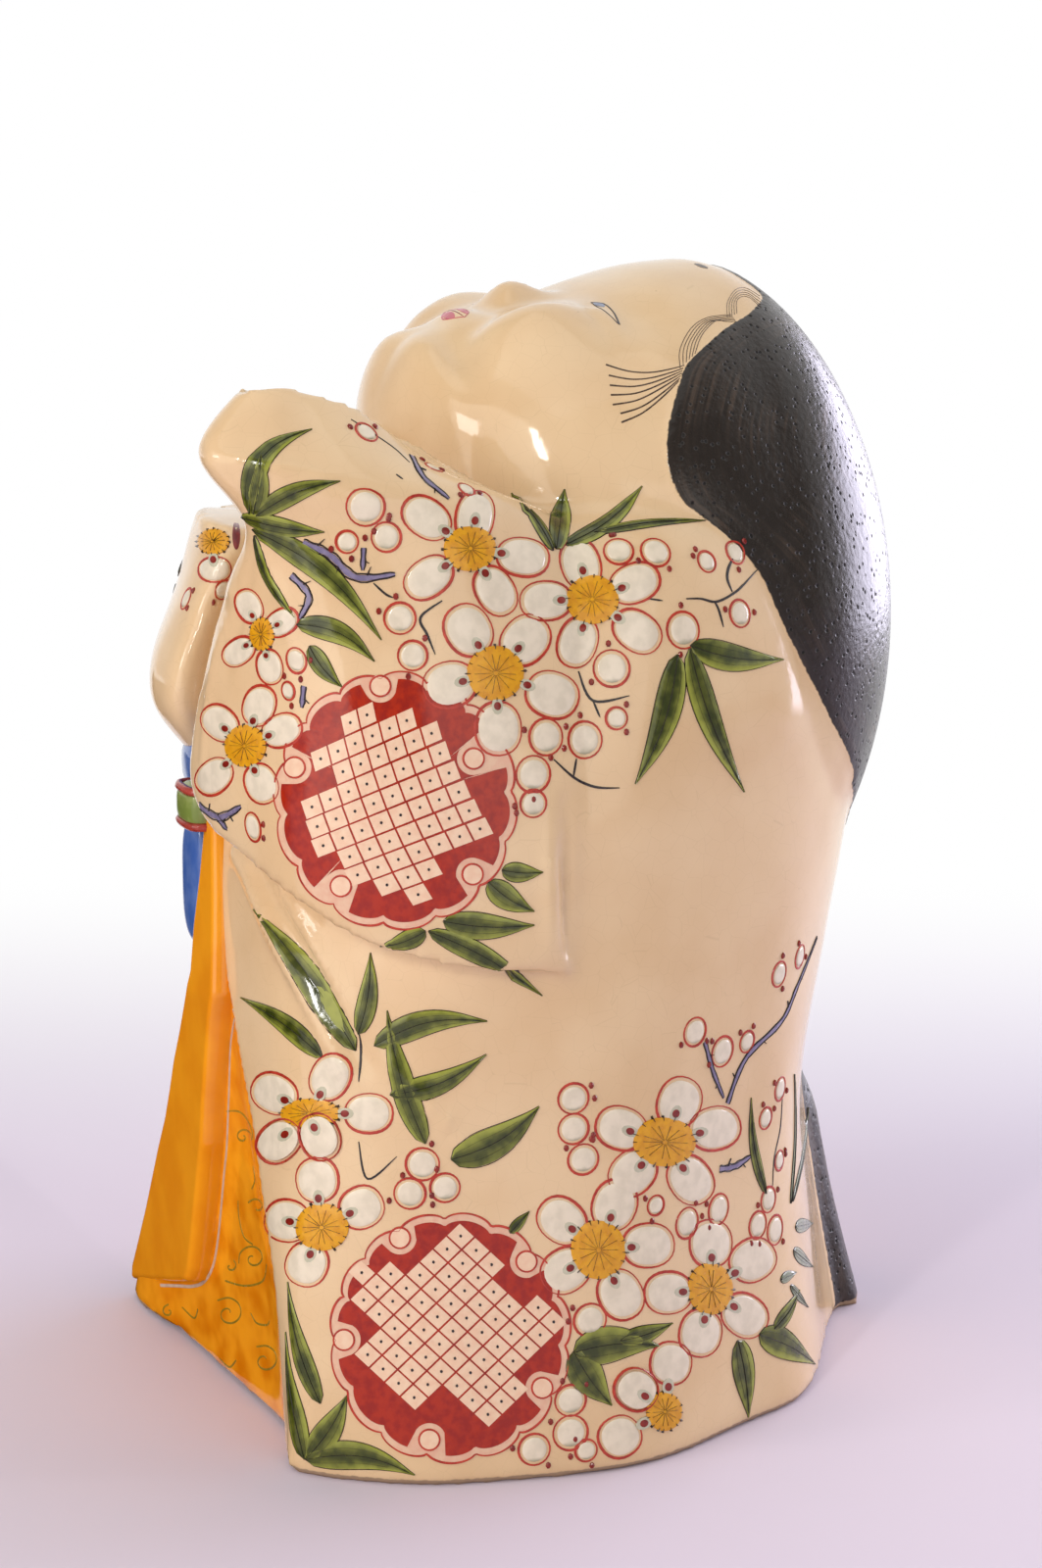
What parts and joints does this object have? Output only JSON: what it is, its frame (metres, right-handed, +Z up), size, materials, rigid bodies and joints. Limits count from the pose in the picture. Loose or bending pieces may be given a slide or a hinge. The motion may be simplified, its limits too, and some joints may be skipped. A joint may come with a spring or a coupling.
{
  "type": "otafuku figurine",
  "caption": "Glazed ceramic figurine of a smiling woman in a wide painted robe, her head thrown back and her sleeves raised before her.",
  "frame": {"origin": "bottom middle of the figure's box, on the surface it stands on", "axes": "+Z up; the figure's front and chin point along -Y, her left hand is on +X, the hair runs down the back on +Y"},
  "size_m": [0.147, 0.1548, 0.2241],
  "materials": {
    "cream_glaze": "clear glossy glaze over cream ceramic, with enamel painting"
  },
  "bodies": {
    "root": {"otafuku_figurine": "cream_glaze"}
  },
  "joints": []
}
